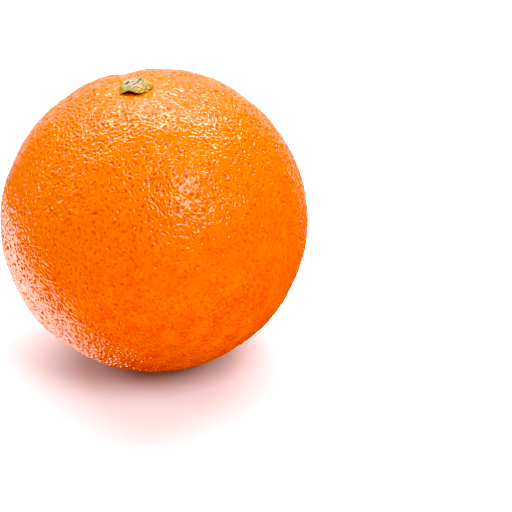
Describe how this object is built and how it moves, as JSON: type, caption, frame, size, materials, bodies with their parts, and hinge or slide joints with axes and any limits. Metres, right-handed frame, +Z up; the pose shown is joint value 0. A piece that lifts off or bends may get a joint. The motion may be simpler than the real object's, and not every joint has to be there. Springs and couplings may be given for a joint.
{
  "type": "orange",
  "caption": "Whole sweet orange with a pebbled rind and a dried calyx button on its stem end, resting on a small flat spot.",
  "frame": {"origin": "middle of the small flat spot that the fruit rests on", "axes": "+Z up out of the resting spot, +X to the right and +Y away as seen from the front; the stem end leans a little towards -X"},
  "size_m": [0.0782, 0.0778, 0.0776],
  "materials": {
    "rind": "waxy pebbled orange rind with oil glands, satin gloss",
    "calyx": "dry olive-green calyx with a grey woody stem scar, matte"
  },
  "bodies": {
    "root": {"fruit": "rind", "stem_button": "calyx"}
  },
  "joints": []
}
